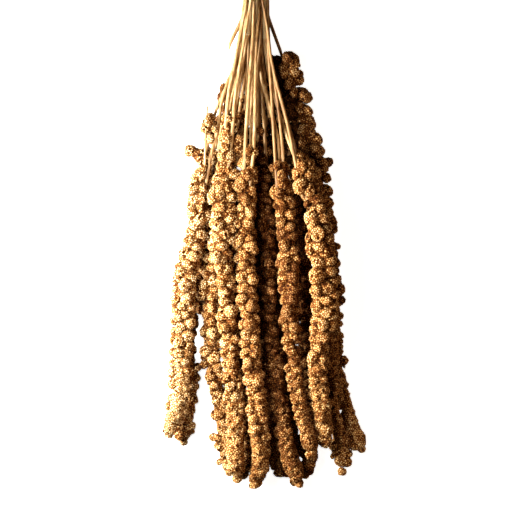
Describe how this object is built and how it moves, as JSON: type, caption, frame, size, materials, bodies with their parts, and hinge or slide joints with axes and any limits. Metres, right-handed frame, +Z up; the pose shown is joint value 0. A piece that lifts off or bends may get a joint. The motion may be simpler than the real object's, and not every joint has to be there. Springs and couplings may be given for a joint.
{
  "type": "foxtail millet bunch",
  "caption": "Tied bunch of dried foxtail millet: long drooping seed heads on bare straw stems, laid down for decoration or bird feed.",
  "frame": {"origin": "on the surface that the bunch lies on, under the middle of its box", "axes": "+Y along the bunch, from the tips of the seed heads to the tied stems; +Z up from the surface; +X across the bunch"},
  "size_m": [0.1654, 0.4484, 0.0546],
  "materials": {
    "seed_head": "matt, granular, golden to brown",
    "straw": "smooth dry straw with a soft sheen",
    "twine": "matt twisted plant fibre"
  },
  "bodies": {
    "root": {"head_01": "seed_head", "head_02": "seed_head", "head_03": "seed_head", "head_04": "seed_head", "head_05": "seed_head", "head_06": "seed_head", "head_07": "seed_head", "head_08": "seed_head", "head_09": "seed_head", "head_10": "seed_head", "head_11": "seed_head", "head_12": "seed_head", "head_13": "seed_head", "head_14": "seed_head", "stem_01": "straw", "stem_02": "straw", "stem_03": "straw", "stem_04": "straw", "stem_05": "straw", "stem_06": "straw", "stem_07": "straw", "stem_08": "straw", "stem_09": "straw", "stem_10": "straw", "stem_11": "straw", "stem_12": "straw", "stem_13": "straw", "stem_14": "straw", "straw_01": "straw", "straw_02": "straw", "straw_03": "straw", "straw_04": "straw", "twine_tie": "twine"}
  },
  "joints": []
}
